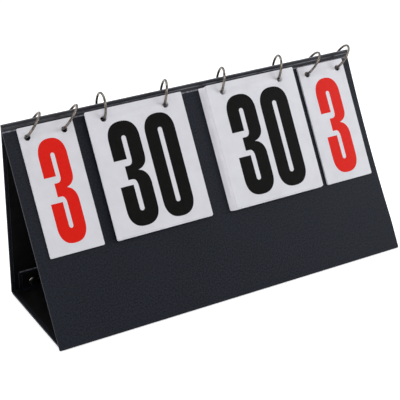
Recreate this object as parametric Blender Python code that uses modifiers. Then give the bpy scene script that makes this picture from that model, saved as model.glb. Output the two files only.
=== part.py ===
"""Tabletop flip scoreboard.

Two vinyl-covered panels lean together at a ridge and a base board ties their feet. The base ends in a
flap that is snapped to the inside of the back panel. Four packs of number cards hang in front on eight
hinged book rings, and a pack's top card goes round its two rings and over the ridge to the back.

The ridge runs along X, the front faces -Y, and the object stands on Z = 0. All sizes are in metres.
A place on a leaning panel is given by v, the distance down its outer face from the ridge line, and n,
the height above that outer face.
"""

import math

import bmesh
import bpy
from mathutils import Matrix

# Driving dimensions of the panels
BOARD_WIDTH = 0.385
SLOPE_LENGTH = 0.2205
FOOT_SPREAD = 0.1635
PANEL_CORNER = 0.003
COVER_SKIN = 0.00045
BOARD_CORE = 0.0013
LINING_SKIN = 0.00045
LAYER_GAP = 0.00015
TURNED_EDGE = 0.0012
RIDGE_SPLIT = 0.00015
FOLD_DROP = 0.002

# Driving dimensions of the ridge strip, the base, its flap and the inner hinge strip
RIDGE_STRIP_SKIN = 0.0009
RIDGE_STRIP_GAP = 0.0006
RIDGE_ROUND = 0.0012
BASE_INSET = 0.0012
BASE_END_GAP = 0.0004
BASE_HINGE_IN = 0.0012
BASE_HINGE_UP = 0.001
FLAP_INSET = 0.0068
FLAP_LENGTH = 0.0255
FLAP_CORE = 0.0005
FLAP_GAP = 0.0003
STRIP_SKIN = 0.0004
STRIP_LEG = 0.011
STRIP_INSET = 0.004

# Driving dimensions of the press studs
STUD_END_MARGIN = 0.0165
STUD_UP_FLAP = 0.0085
STUD_FLANGE_RADIUS = 0.0048
STUD_FLANGE = 0.0007
STUD_SHANK_RADIUS = 0.0013
STUD_KNOB_RADIUS = 0.0017
STUD_KNOB = 0.0011
SHANK_CLEARANCE = 0.0003
SOCKET_RADIUS = 0.0045
SOCKET_BORE_RADIUS = 0.0024
SOCKET_CLEARANCE = 0.0003
CAP_RADIUS = 0.0058
CAP_RISE = 0.0013

# Driving dimensions of the rings
RING_RADIUS = 0.0136
WIRE_RADIUS = 0.001
RING_FORWARD = 0.0045
RING_DROP = 0.001
PANEL_HOLE_RADIUS = 0.00325
RIVET_RADIUS = 0.00045
RIVET_CLEARANCE = 0.00015
TONGUE_GAP = 0.0003
TONGUE_REACH = 0.0011
TONGUE_SHOULDER = 0.00185
LATCH_GAP = 0.0003
GATE_PIVOT_DEG = -44.0
WIRE_STEP_DEG = 12.0

# Driving dimensions of the cards, whose widths and hole spacings are shares of the board's width
SCORE_CARD_SHARE = 0.26675
SET_CARD_SHARE = 0.14260
SCORE_HOLE_SHARE = 0.17143
SET_HOLE_SHARE = 0.09610
CARD_HEIGHT = 0.128
CARD_SHEET = 0.00025
CARD_PITCH = 0.00028
CARD_CORNER = 0.0025
CARD_HOLE_RADIUS = 0.0031
CARD_MARGIN = 0.0115
CARD_HANG_GAP = 0.0003
CARD_REST_GAP = 0.0003
SCORE_LOWER_CARDS = 29
SET_LOWER_CARDS = 7

# Driving dimensions of how the packs hang: their cards' shifts and how far the guest's score pack has slipped
HOME_SET_SHIFT = 0.0009
HOME_SCORE_SHIFT = 0.001
GUEST_SCORE_SHIFT = 0.0001
GUEST_SCORE_SLIP = 0.0048
GUEST_SET_SHIFT = -0.0009

# Each pack: name, middle of its rings as a share of the board's width, score or set card, its cards'
# shift along X from its rings, and how far its lowest card lies to the left of the one under the top card
PACKS = (
    ("home_set", -0.39610, "set", HOME_SET_SHIFT, 0.0),
    ("home_score", -0.16234, "score", HOME_SCORE_SHIFT, 0.0),
    ("guest_score", 0.17532, "score", GUEST_SCORE_SHIFT, GUEST_SCORE_SLIP),
    ("guest_set", 0.40390, "set", GUEST_SET_SHIFT, 0.0),
)

# Values that follow from the sizes above
LEAN = math.asin(FOOT_SPREAD / 2 / SLOPE_LENGTH)
SIN = math.sin(LEAN)
COS = math.cos(LEAN)
RIDGE_HEIGHT = SLOPE_LENGTH * COS
PANEL_THICKNESS = COVER_SKIN + BOARD_CORE + LINING_SKIN + 2 * LAYER_GAP
FLAP_THICKNESS = COVER_SKIN + FLAP_CORE + LINING_SKIN + 2 * LAYER_GAP
PANEL_TOP = (PANEL_THICKNESS * COS + RIDGE_SPLIT) / SIN
PANEL_FOOT = (RIDGE_HEIGHT - PANEL_THICKNESS * SIN) / COS
RIDGE_STRIP_REACH = PANEL_TOP - RIDGE_STRIP_GAP
INNER_FOOT_Y = RIDGE_HEIGHT * SIN / COS - PANEL_THICKNESS / COS
BASE_END_Y = INNER_FOOT_Y - PANEL_THICKNESS * SIN / COS - BASE_END_GAP
BASE_HALF = BOARD_WIDTH / 2 - BASE_INSET
FLAP_N = -PANEL_THICKNESS - FLAP_GAP
FLAP_FOOT_Z = PANEL_THICKNESS + FLAP_GAP
FLAP_FOOT_V = (RIDGE_HEIGHT + (FLAP_N - FLAP_THICKNESS) * SIN - FLAP_FOOT_Z) / COS
FLAP_HALF = BASE_HALF - FLAP_INSET
STUD_V = FLAP_FOOT_V - STUD_UP_FLAP
STUD_X = FLAP_HALF - STUD_END_MARGIN

# Empties: the ridge line, and the axes of the folds
FOLD_AXIS = (0.0, RIDGE_HEIGHT - FOLD_DROP)
BASE_AXIS = (-INNER_FOOT_Y - BASE_HINGE_IN, BASE_HINGE_UP)
RING_CENTRE = (-RING_FORWARD, RIDGE_HEIGHT - RING_DROP)

# Colours
VINYL_COLOUR = (0.016, 0.018, 0.024, 1.0)
LINING_COLOUR = (0.022, 0.024, 0.030, 1.0)
CORE_COLOUR = (0.22, 0.18, 0.13, 1.0)
CARD_COLOUR = (0.72, 0.72, 0.76, 1.0)
NICKEL_COLOUR = (0.72, 0.70, 0.67, 1.0)


def clear_scene():
    """Remove every object so that the script can run again in an open file."""
    for item in list(bpy.data.objects):
        bpy.data.objects.remove(item, do_unlink=True)


def new_collection(name):
    """Return a new collection of this name under the scene."""
    collection = bpy.data.collections.new(name)
    bpy.context.scene.collection.children.link(collection)
    return collection


def new_material(name, colour, roughness, metallic=0.0):
    """Return a Principled material."""
    material = bpy.data.materials.new(name)
    material.use_nodes = True
    shader = material.node_tree.nodes["Principled BSDF"]
    shader.inputs["Base Color"].default_value = colour
    shader.inputs["Roughness"].default_value = roughness
    shader.inputs["Metallic"].default_value = metallic
    return material


class Frame:
    """A leaning frame held by an empty: local x along the panel, y up its slope, z out of its face."""

    def __init__(self, name, parts, yz, side):
        """Place the empty at (y, z); side is -1 for the front slope, +1 for the back and 0 for level."""
        self.yz = yz
        self.side = side
        self.empty = bpy.data.objects.new(name, None)
        self.empty.empty_display_size = 0.02
        self.empty.location = (0.0, yz[0], yz[1])
        if side:
            self.empty.rotation_euler = (math.pi / 2 - LEAN, 0.0, math.pi if side > 0 else 0.0)
        parts.objects.link(self.empty)
        drop = RIDGE_HEIGHT - yz[1]
        self.v = side * yz[0] * SIN + drop * COS
        self.n = side * yz[0] * COS - drop * SIN

    def place(self, x, v, n):
        """Return local coordinates of a place given by x, v and n."""
        return (x if self.side < 0 else -x, self.v - v, n - self.n)


def ring_v(n):
    """Return how far down the front slope the ring's wire crosses height n."""
    centre_v = RING_FORWARD * SIN + RING_DROP * COS
    centre_n = RING_FORWARD * COS - RING_DROP * SIN
    return centre_v + math.sqrt(RING_RADIUS ** 2 - (n - centre_n) ** 2)


def wire_half(n):
    """Return half the length, down the front slope, that the slanting wire takes at height n."""
    centre_n = RING_FORWARD * COS - RING_DROP * SIN
    return WIRE_RADIUS / math.cos(math.asin((n - centre_n) / RING_RADIUS))


def back_hole_v():
    """Return the back holes' v: the middle of the wire's travel as the back panel opens about its fold."""
    across = -RING_FORWARD
    up = FOLD_DROP - RING_DROP
    reaches = []
    for step in range(31):
        turn = LEAN + step / 30 * (math.pi - 2 * LEAN)
        along = across * math.sin(turn) - up * math.cos(turn)
        reaches.append(along + math.sqrt(along ** 2 - across ** 2 - up ** 2 + RING_RADIUS ** 2))
    return FOLD_DROP * COS + (min(reaches) + max(reaches)) / 2


def yz_on_slope(side, v, n):
    """Return world y and z of a place on the front (-1) or back (+1) slope."""
    return (side * (v * SIN + n * COS), RIDGE_HEIGHT - v * COS + n * SIN)


def circle_points(x, y, radius, count):
    """Return points round a circle."""
    turns = [2 * math.pi * i / count for i in range(count)]
    return [(x + radius * math.cos(t), y + radius * math.sin(t)) for t in turns]


def rounded_rectangle(x0, x1, y0, y1, radius, steps=3):
    """Return the outline of a rectangle whose corners are arcs."""
    corners = ((x1 - radius, y1 - radius, 0), (x0 + radius, y1 - radius, 1),
               (x0 + radius, y0 + radius, 2), (x1 - radius, y0 + radius, 3))
    outline = []
    for cx, cy, quarter in corners:
        for step in range(steps + 1):
            turn = math.pi / 2 * (quarter + step / steps)
            outline.append((cx + radius * math.cos(turn), cy + radius * math.sin(turn)))
    return outline


def mesh_of_curve(data, weld=1e-6):
    """Turn curve data into a welded mesh and remove the curve."""
    temporary = bpy.data.objects.new("outline", data)
    bpy.context.scene.collection.objects.link(temporary)
    evaluated = temporary.evaluated_get(bpy.context.evaluated_depsgraph_get())
    mesh = bpy.data.meshes.new_from_object(evaluated)
    bpy.data.objects.remove(temporary, do_unlink=True)
    work = bmesh.new()
    work.from_mesh(mesh)
    bmesh.ops.remove_doubles(work, verts=work.verts, dist=weld)
    bmesh.ops.recalc_face_normals(work, faces=work.faces)
    work.to_mesh(mesh)
    work.free()
    return mesh


def add_spline(data, points, cyclic=True):
    """Add a straight-edged spline through 2D or 3D points."""
    spline = data.splines.new("POLY")
    spline.points.add(len(points) - 1)
    for target, point in zip(spline.points, points):
        target.co = (point[0], point[1], point[2] if len(point) > 2 else 0.0, 1.0)
    spline.use_cyclic_u = cyclic


def plate_mesh(outlines, thickness):
    """Return a flat plate, centred on local z = 0, with its first outline outside and holes within."""
    data = bpy.data.curves.new("outline", "CURVE")
    data.dimensions = "2D"
    data.fill_mode = "BOTH"
    data.extrude = thickness / 2
    for outline in outlines:
        add_spline(data, outline)
    return mesh_of_curve(data)


def wire_mesh(points, radius):
    """Return a round wire with filled ends along 3D points."""
    data = bpy.data.curves.new("wire", "CURVE")
    data.dimensions = "3D"
    data.bevel_depth = radius
    data.bevel_resolution = 2
    data.use_fill_caps = True
    add_spline(data, points, cyclic=False)
    return mesh_of_curve(data)


def joined_mesh(name, meshes):
    """Return one mesh that holds several meshes as separate bodies."""
    work = bmesh.new()
    for mesh in meshes:
        work.from_mesh(mesh)
        bpy.data.meshes.remove(mesh)
    result = bpy.data.meshes.new(name)
    work.to_mesh(result)
    work.free()
    return result


def add_object(name, mesh, collection, parent, location, material=None, rotation=(0.0, 0.0, 0.0)):
    """Link a mesh as an object under its parent empty."""
    item = bpy.data.objects.new(name, mesh)
    item.location = location
    item.rotation_euler = rotation
    if parent is not None:
        item.parent = parent
    collection.objects.link(item)
    if material is not None and not mesh.materials:
        mesh.materials.append(material)
    return item


def mark_cutter(item):
    """Show a cutter as wire and keep it out of renders."""
    item.display_type = "WIRE"
    item.hide_render = True
    return item


def cut(item, cutter, solver="EXACT"):
    """Take the cutter away from an object."""
    modifier = item.modifiers.new("cut", "BOOLEAN")
    modifier.operation = "DIFFERENCE"
    modifier.solver = solver
    modifier.object = cutter


def shade_round(mesh):
    """Shade a round piece smooth and keep its real edges sharp."""
    mesh.shade_smooth()
    mesh.set_sharp_from_angle(angle=math.radians(40))


def layer(name, kit, frame, box, n_top, thickness, holes, material, corner=PANEL_CORNER):
    """Add one flat layer of a panel: box is (x0, x1, v0, v1) and holes are (x, v, radius)."""
    x0, x1, v0, v1 = box
    flip = 1 if frame.side < 0 else -1
    outlines = [rounded_rectangle(x0, x1, -v1, -v0, corner)]
    for x, v, radius in holes:
        outlines.append(circle_points(flip * x, -v, radius, 16))
    mesh = plate_mesh(outlines, thickness)
    mesh.name = name
    place = frame.place(0.0, 0.0, n_top - thickness / 2)
    return add_object(name, mesh, kit["parts"], frame.empty, place, material)


def add_panel(name, kit, frame, box, n_top, core, holes):
    """Add a covered panel: an outer cover with turned edges, a core board and a lining behind it."""
    x0, x1, v0, v1 = box
    depth = COVER_SKIN + LAYER_GAP + core
    cover = layer(name + "_cover", kit, frame, box, n_top, depth, holes, kit["vinyl"])
    inner = (x0 + TURNED_EDGE, x1 - TURNED_EDGE, v0 + TURNED_EDGE, v1 - TURNED_EDGE)
    corner = PANEL_CORNER - TURNED_EDGE
    hollow = plate_mesh([rounded_rectangle(inner[0], inner[1], -inner[3], -inner[2], corner)], depth)
    place = frame.place(0.0, 0.0, n_top - COVER_SKIN - depth / 2)
    cutter = add_object(name + "_hollow", hollow, kit["cutters"], frame.empty, place)
    cut(cover, mark_cutter(cutter), "MANIFOLD")
    gap = TURNED_EDGE + LAYER_GAP
    core_box = (x0 + gap, x1 - gap, v0 + gap, v1 - gap)
    core_top = n_top - COVER_SKIN - LAYER_GAP
    layer(name + "_board", kit, frame, core_box, core_top, core, holes, kit["core"], corner - LAYER_GAP)
    lining_top = core_top - core - LAYER_GAP
    layer(name + "_lining", kit, frame, box, lining_top, LINING_SKIN, holes, kit["lining"])


def add_profile(name, kit, parent, origin, outline_yz, width, material):
    """Add a straight strip along X whose section is given by world (y, z) points."""
    points = [(y - origin[0], z - origin[1]) for y, z in outline_yz]
    mesh = plate_mesh([points], width)
    mesh.name = name
    turn = (math.pi / 2, 0.0, math.pi / 2)
    return add_object(name, mesh, kit["parts"], parent, (0.0, 0.0, 0.0), material, turn)


def pack_layout(pack):
    """Return a pack's sizes and places as a dictionary."""
    name, share, kind, shift, fan = pack
    middle = share * BOARD_WIDTH
    score = kind == "score"
    count = SCORE_LOWER_CARDS if score else SET_LOWER_CARDS
    top_n = CARD_REST_GAP + count * CARD_PITCH + CARD_SHEET / 2
    wire_top = min(ring_v(n) - wire_half(n) for n in (CARD_REST_GAP, top_n))
    spacing = BOARD_WIDTH * (SCORE_HOLE_SHARE if score else SET_HOLE_SHARE)
    return {
        "name": name,
        "middle": middle,
        "shift": shift,
        "fan": fan,
        "count": count,
        "width": BOARD_WIDTH * (SCORE_CARD_SHARE if score else SET_CARD_SHARE),
        "spacing": spacing,
        "rings": (middle - spacing / 2, middle + spacing / 2),
        "top_n": top_n,
        "wire_v": ring_v(top_n),
        "hole_v": wire_top - CARD_HANG_GAP + CARD_HOLE_RADIUS,
    }


def card_outline(layout, shift):
    """Return a card's outline about its ring holes: x from the pack's middle, y up from the holes."""
    half = layout["width"] / 2
    foot = CARD_MARGIN - CARD_HEIGHT
    return rounded_rectangle(shift - half, shift + half, foot, CARD_MARGIN, CARD_CORNER, steps=2)


def card_holes(layout):
    """Return the outlines of a card's two ring holes."""
    sides = (-layout["spacing"] / 2, layout["spacing"] / 2)
    return [circle_points(x, 0.0, CARD_HOLE_RADIUS, 10) for x in sides]


def add_cards(kit, front, layout):
    """Add a pack's top card on its swing axis, the next card, and the block of cards beneath them."""
    name = layout["name"]
    wire = yz_on_slope(-1, layout["wire_v"], layout["top_n"])
    swing = Frame(name + "_swing_axis", kit["parts"], wire, -1)
    count = layout["count"]
    for tail, holder, n in (("_top_card", swing, layout["top_n"]),
                            ("_next_card", front, layout["top_n"] - CARD_PITCH)):
        mesh = plate_mesh([card_outline(layout, layout["shift"])] + card_holes(layout), CARD_SHEET)
        mesh.name = name + tail
        place = holder.place(layout["middle"], layout["hole_v"], n)
        add_object(mesh.name, mesh, kit["parts"], holder.empty, place, kit["card"])

    depth = (count - 1) * CARD_PITCH - (CARD_PITCH - CARD_SHEET)
    place = front.place(layout["middle"], layout["hole_v"], CARD_REST_GAP + depth / 2)
    block = plate_mesh([card_outline(layout, layout["shift"] - layout["fan"] / 2)], depth)
    block.name = name + "_lower_cards"
    slant = Matrix.Identity(4)
    slant[0][2] = layout["fan"] / depth
    block.transform(slant)
    item = add_object(block.name, block, kit["parts"], front.empty, place, kit["card"])
    drill = plate_mesh(card_holes(layout), 2 * depth)
    cutter = add_object(name + "_drill", drill, kit["cutters"], front.empty, place)
    cut(item, mark_cutter(cutter))


def arc_points(start, end):
    """Return points along the ring between two angles, in the ring's own Y-Z plane."""
    count = max(2, round(abs(end - start) / WIRE_STEP_DEG))
    turns = [math.radians(start + (end - start) * i / count) for i in range(count + 1)]
    return [(0.0, RING_RADIUS * math.cos(t), RING_RADIUS * math.sin(t)) for t in turns]


def tongue_cutter(kit, name, side, toward):
    """Return a cutter that thins a half ring to a tongue beside the pivot and drills the rivet's hole.

    side is the half of the wire in X that goes, and toward is +1 if the half ring lies at larger angles.
    """
    depth = 2 * WIRE_RADIUS
    low = -TONGUE_REACH - WIRE_RADIUS
    high = TONGUE_SHOULDER
    size = (depth, 2 * depth, high - low)
    middle = (side * (depth / 2 - TONGUE_GAP / 2), 0.0, toward * (high + low) / 2)
    work = bmesh.new()
    bmesh.ops.create_cube(work, size=1.0, matrix=Matrix.Translation(middle) @ Matrix.Diagonal((*size, 1.0)))
    box = bpy.data.meshes.new(name)
    work.to_mesh(box)
    work.free()
    drill = plate_mesh([circle_points(0.0, 0.0, RIVET_RADIUS + RIVET_CLEARANCE, 12)], 2 * depth)
    drill.transform(Matrix.Rotation(math.pi / 2, 4, "Y"))
    cutters = []
    for tail, mesh in (("_slot", box), ("_drill", drill)):
        turn = math.radians(GATE_PIVOT_DEG)
        spot = (0.0, RING_RADIUS * math.cos(turn), RING_RADIUS * math.sin(turn))
        item = add_object(name + tail, mesh, kit["cutters"], None, spot, None, (turn, 0.0, 0.0))
        cutters.append(mark_cutter(item))
    return cutters


def ring_meshes(kit):
    """Return the finished meshes of a bow, a gate and a rivet round the ring's centre."""
    reach = math.degrees(TONGUE_REACH / RING_RADIUS)
    latch = math.degrees(LATCH_GAP / 2 / RING_RADIUS)
    pivot = GATE_PIVOT_DEG
    spans = {
        "bow": (pivot + reach, pivot - 180 + latch, -1),
        "gate": (pivot - reach, pivot + 180 - latch, 1),
    }
    result = {}
    for name, (start, end, toward) in spans.items():
        mesh = wire_mesh(arc_points(start, end), WIRE_RADIUS)
        item = add_object(name + "_blank", mesh, kit["cutters"], None, (0.0, 0.0, 0.0))
        for cutter in tongue_cutter(kit, name + "_tongue", toward, toward):
            cut(item, cutter)
        evaluated = item.evaluated_get(bpy.context.evaluated_depsgraph_get())
        result[name] = bpy.data.meshes.new_from_object(evaluated)
        shade_round(result[name])
        bpy.data.objects.remove(item, do_unlink=True)
    turn = math.radians(pivot)
    rivet = plate_mesh([circle_points(0.0, 0.0, RIVET_RADIUS, 12)], 2 * WIRE_RADIUS)
    rivet.transform(Matrix.Rotation(math.pi / 2, 4, "Y"))
    rivet.transform(Matrix.Translation((0.0, RING_RADIUS * math.cos(turn), RING_RADIUS * math.sin(turn))))
    shade_round(rivet)
    result["rivet"] = rivet
    for mesh in result.values():
        mesh.materials.clear()
        mesh.materials.append(kit["nickel"])
    return result


def add_rings(kit):
    """Add the eight rings, each a bow through the holes, a gate over the ridge and their rivet."""
    meshes = ring_meshes(kit)
    number = 0
    for pack in PACKS:
        layout = pack_layout(pack)
        axis = bpy.data.objects.new(layout["name"] + "_ring_axis", None)
        axis.empty_display_size = 0.02
        axis.location = (layout["middle"], RING_CENTRE[0], RING_CENTRE[1])
        kit["parts"].objects.link(axis)
        for x in layout["rings"]:
            number += 1
            for piece in ("bow", "gate", "rivet"):
                name = f"ring_{number}_{piece}"
                add_object(name, meshes[piece], kit["parts"], axis, (x - layout["middle"], 0.0, 0.0))


def add_turned(name, kit, frame, x, v, n, profile, material):
    """Add a turned piece on an axis square to a panel; profile is (radius, n) from its top down."""
    mesh = bpy.data.meshes.new(name)
    closed = profile[0][0] > 0.0
    count = len(profile)
    edges = [(i, i + 1) for i in range(count - 1)]
    if closed:
        edges.append((count - 1, 0))
    mesh.from_pydata([(radius, 0.0, height - n) for radius, height in profile], edges, [])
    item = add_object(name, mesh, kit["parts"], frame.empty, frame.place(x, v, n), material)
    screw = item.modifiers.new("turn", "SCREW")
    screw.axis = "Z"
    screw.steps = 20
    screw.render_steps = 20
    screw.use_merge_vertices = True
    screw.merge_threshold = 0.00001
    screw.use_smooth_shade = True
    return item


def add_press_studs(kit, back, flap):
    """Add the two press studs that hold the flap to the back panel."""
    knob_n = -PANEL_THICKNESS - FLAP_GAP
    tip_n = knob_n - STUD_KNOB
    socket_top = knob_n - LAYER_GAP
    socket_foot = FLAP_N - FLAP_THICKNESS
    cap_top = socket_foot - LAYER_GAP
    neck = STUD_SHANK_RADIUS
    flange = SHANK_CLEARANCE / 2
    stud = [
        (0.0, flange + STUD_FLANGE),
        (STUD_FLANGE_RADIUS * 0.8, flange + STUD_FLANGE),
        (STUD_FLANGE_RADIUS, flange + STUD_FLANGE * 0.4),
        (STUD_FLANGE_RADIUS, flange),
        (neck, flange),
        (neck, knob_n),
        (STUD_KNOB_RADIUS, knob_n - STUD_KNOB * 0.3),
        (STUD_KNOB_RADIUS, knob_n - STUD_KNOB * 0.7),
        (neck, tip_n),
        (0.0, tip_n),
    ]
    socket = [
        (SOCKET_BORE_RADIUS, socket_top),
        (SOCKET_RADIUS, socket_top),
        (SOCKET_RADIUS, socket_foot),
        (SOCKET_BORE_RADIUS, socket_foot),
    ]
    cap = [
        (0.0, cap_top),
        (CAP_RADIUS, cap_top),
        (CAP_RADIUS, cap_top - CAP_RISE * 0.35),
        (CAP_RADIUS * 0.86, cap_top - CAP_RISE * 0.8),
        (CAP_RADIUS * 0.5, cap_top - CAP_RISE),
        (0.0, cap_top - CAP_RISE),
    ]
    for side, x in (("left", -STUD_X), ("right", STUD_X)):
        add_turned(f"snap_stud_{side}", kit, back, x, STUD_V, 0.0, stud, kit["nickel"])
        add_turned(f"snap_socket_{side}", kit, flap, x, STUD_V, FLAP_N, socket, kit["nickel"])
        add_turned(f"snap_cap_{side}", kit, flap, x, STUD_V, FLAP_N, cap, kit["nickel"])


def add_ridge_strip(kit, front):
    """Add the vinyl strip that is folded over the ridge and welded to both panels."""
    reach = RIDGE_STRIP_REACH
    outer = []
    inner = []
    for side in (-1, 1):
        foot = yz_on_slope(side, reach, 0.0)
        crown = yz_on_slope(side, RIDGE_ROUND, 0.0)
        outer += [foot, crown] if side < 0 else [crown, foot]
    skin = RIDGE_STRIP_SKIN
    apex_drop = skin / SIN
    inner.append(yz_on_slope(1, reach, -skin))
    inner.append((0.0, RIDGE_HEIGHT - apex_drop))
    inner.append(yz_on_slope(-1, reach, -skin))
    top = (0.0, RIDGE_HEIGHT - RIDGE_ROUND * COS * 0.45)
    outline = outer[:2] + [top] + outer[2:] + inner
    origin = (0.0, RIDGE_HEIGHT)
    strip_frame = bpy.data.objects.new("ridge_line", None)
    strip_frame.location = (0.0, *origin)
    kit["parts"].objects.link(strip_frame)
    add_profile("ridge_strip", kit, strip_frame, origin, outline, BOARD_WIDTH, kit["vinyl"])


def add_hinge_strip(kit):
    """Add the vinyl strip inside the corner of the front panel and the base."""
    wall = -PANEL_THICKNESS - LAYER_GAP
    floor = PANEL_THICKNESS + LAYER_GAP

    def corner(n, z):
        """Return the point where height n behind the front slope meets level z."""
        v = (RIDGE_HEIGHT + n * SIN - z) / COS
        return yz_on_slope(-1, v, n)

    low_out = corner(wall, floor)
    low_in = corner(wall - STRIP_SKIN, floor + STRIP_SKIN)
    v_low = (RIDGE_HEIGHT + wall * SIN - floor) / COS
    outline = [
        low_out,
        (low_out[0] + STRIP_LEG, floor),
        (low_out[0] + STRIP_LEG, floor + STRIP_SKIN),
        low_in,
        yz_on_slope(-1, v_low - STRIP_LEG, wall - STRIP_SKIN),
        yz_on_slope(-1, v_low - STRIP_LEG, wall),
    ]
    strip_frame = bpy.data.objects.new("front_foot_corner", None)
    strip_frame.location = (0.0, *low_out)
    kit["parts"].objects.link(strip_frame)
    width = BOARD_WIDTH - 2 * STRIP_INSET
    add_profile("base_hinge_strip", kit, strip_frame, low_out, outline, width, kit["lining"])


class LevelFrame(Frame):
    """The base's frame at its hinge axis: v runs back along +Y from the axis, n is depth below z = 0."""

    def __init__(self, name, parts, yz):
        """Place the empty and turn it so that local z points down, out of the base's outer face."""
        super().__init__(name, parts, yz, 0)
        self.empty.rotation_euler = (math.pi, 0.0, 0.0)
        self.side = -1

    def place(self, x, v, n):
        """Return local coordinates of world x, world y = v and world z = -n."""
        return (x, self.yz[0] - v, n + self.yz[1])


def build():
    """Build the whole scoreboard."""
    clear_scene()
    kit = {
        "parts": new_collection("flip_scoreboard"),
        "cutters": new_collection("cutters"),
        "vinyl": new_material("grained_vinyl", VINYL_COLOUR, 0.55),
        "lining": new_material("vinyl_lining", LINING_COLOUR, 0.6),
        "core": new_material("grey_board", CORE_COLOUR, 0.9),
        "card": new_material("card_sheet", CARD_COLOUR, 0.35),
        "nickel": new_material("nickel_plate", NICKEL_COLOUR, 0.2, 1.0),
    }
    front = Frame("front_slope", kit["parts"], (0.0, RIDGE_HEIGHT), -1)
    back = Frame("ridge_fold_axis", kit["parts"], FOLD_AXIS, 1)
    base = LevelFrame("base_fold_axis", kit["parts"], BASE_AXIS)
    flap_axis = yz_on_slope(1, FLAP_FOOT_V, FLAP_N - FLAP_THICKNESS)
    flap = Frame("flap_fold_axis", kit["parts"], flap_axis, 1)

    ring_x = [x for pack in PACKS for x in pack_layout(pack)["rings"]]
    half = BOARD_WIDTH / 2
    panel = (-half, half, PANEL_TOP, PANEL_FOOT)
    front_v = ring_v(-PANEL_THICKNESS / 2)
    back_v = back_hole_v()
    front_holes = [(x, front_v, PANEL_HOLE_RADIUS) for x in ring_x]
    back_holes = [(x, back_v, PANEL_HOLE_RADIUS) for x in ring_x]
    shank = STUD_SHANK_RADIUS + SHANK_CLEARANCE
    back_holes += [(x, STUD_V, shank) for x in (-STUD_X, STUD_X)]
    add_panel("front", kit, front, panel, 0.0, BOARD_CORE, front_holes)
    add_panel("back", kit, back, panel, 0.0, BOARD_CORE, back_holes)

    base_box = (-BASE_HALF, BASE_HALF, -BASE_END_Y, BASE_END_Y)
    add_panel("base", kit, base, base_box, 0.0, BOARD_CORE, [])
    flap_box = (-FLAP_HALF, FLAP_HALF, FLAP_FOOT_V - FLAP_LENGTH, FLAP_FOOT_V)
    socket_hole = SOCKET_RADIUS + SOCKET_CLEARANCE
    flap_holes = [(x, STUD_V, socket_hole) for x in (-STUD_X, STUD_X)]
    add_panel("flap", kit, flap, flap_box, FLAP_N, FLAP_CORE, flap_holes)

    add_ridge_strip(kit, front)
    add_hinge_strip(kit)
    add_press_studs(kit, back, flap)
    add_rings(kit)
    for pack in PACKS:
        add_cards(kit, front, pack_layout(pack))
    bpy.context.view_layer.update()


build()
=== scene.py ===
"""Looks of a tabletop flip scoreboard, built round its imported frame.

Each dataclass below dresses one sub-assembly of the frame: the covered boards, the ridge strip, the inner
folds, the press studs, the book rings and the packs of number cards. Sizes are metres in the frame's own
axes: X along the ridge, the front facing -Y, Z up. A place on a leaning panel is given by x, by v, the
distance down its outer face from the ridge line, and by n, the height above that face.
"""

import logging
import math
import random
from dataclasses import dataclass, field, replace
from enum import Enum

import bmesh
import bpy
from bpy.types import Material, Mesh, Node, NodeSocket, Object
from mathutils import Matrix, Vector

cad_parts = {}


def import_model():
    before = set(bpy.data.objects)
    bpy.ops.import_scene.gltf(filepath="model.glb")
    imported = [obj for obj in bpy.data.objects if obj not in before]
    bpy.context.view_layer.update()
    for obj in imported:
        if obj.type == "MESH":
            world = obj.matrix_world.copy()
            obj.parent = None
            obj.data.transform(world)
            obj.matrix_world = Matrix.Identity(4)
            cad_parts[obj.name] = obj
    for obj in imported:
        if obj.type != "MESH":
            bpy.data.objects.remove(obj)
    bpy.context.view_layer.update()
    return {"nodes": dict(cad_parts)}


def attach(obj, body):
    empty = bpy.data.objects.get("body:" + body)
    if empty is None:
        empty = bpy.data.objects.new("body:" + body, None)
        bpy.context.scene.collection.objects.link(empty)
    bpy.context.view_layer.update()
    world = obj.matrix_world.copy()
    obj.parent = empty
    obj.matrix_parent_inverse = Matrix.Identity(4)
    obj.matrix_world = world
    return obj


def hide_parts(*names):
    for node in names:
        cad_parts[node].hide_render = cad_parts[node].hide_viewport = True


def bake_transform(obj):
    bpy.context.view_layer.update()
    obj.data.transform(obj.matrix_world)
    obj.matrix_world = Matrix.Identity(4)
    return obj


LOG = logging.getLogger("flip_scoreboard")

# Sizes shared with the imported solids
BOARD_WIDTH = 0.385
SLOPE_LENGTH = 0.2205
FOOT_SPREAD = 0.1635
COVER_SKIN = 0.00045
BOARD_CORE = 0.0013
LINING_SKIN = 0.00045
LAYER_GAP = 0.00015
TURNED_EDGE = 0.0012
RIDGE_SPLIT = 0.00015
FOLD_DROP = 0.002
BASE_GAP = 0.0004
BASE_INSET = 0.0012
FLAP_CORE = 0.0005
FLAP_GAP = 0.0003
FLAP_CORNER = 0.003
FLAP_INSET = 0.0068
FLAP_HEIGHT = 0.0255
STUD_MARGIN = 0.0165
STUD_RISE = 0.0085
STUD_HOLE_RADIUS = 0.0016
SOCKET_HOLE_RADIUS = 0.0048
RING_RADIUS = 0.0136
WIRE_RADIUS = 0.001
RING_FORWARD = 0.0045
RING_DROP = 0.001
PANEL_HOLE_RADIUS = 0.00325
PIVOT_DEG = -44.0
CARD_SHEET = 0.00025
CARD_PITCH = 0.00028
CARD_REST_GAP = 0.0003
CARD_HEIGHT = 0.128
CARD_MARGIN = 0.0115
CARD_HOLE_RADIUS = 0.0031
CARD_HANG_GAP = 0.0003

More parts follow.
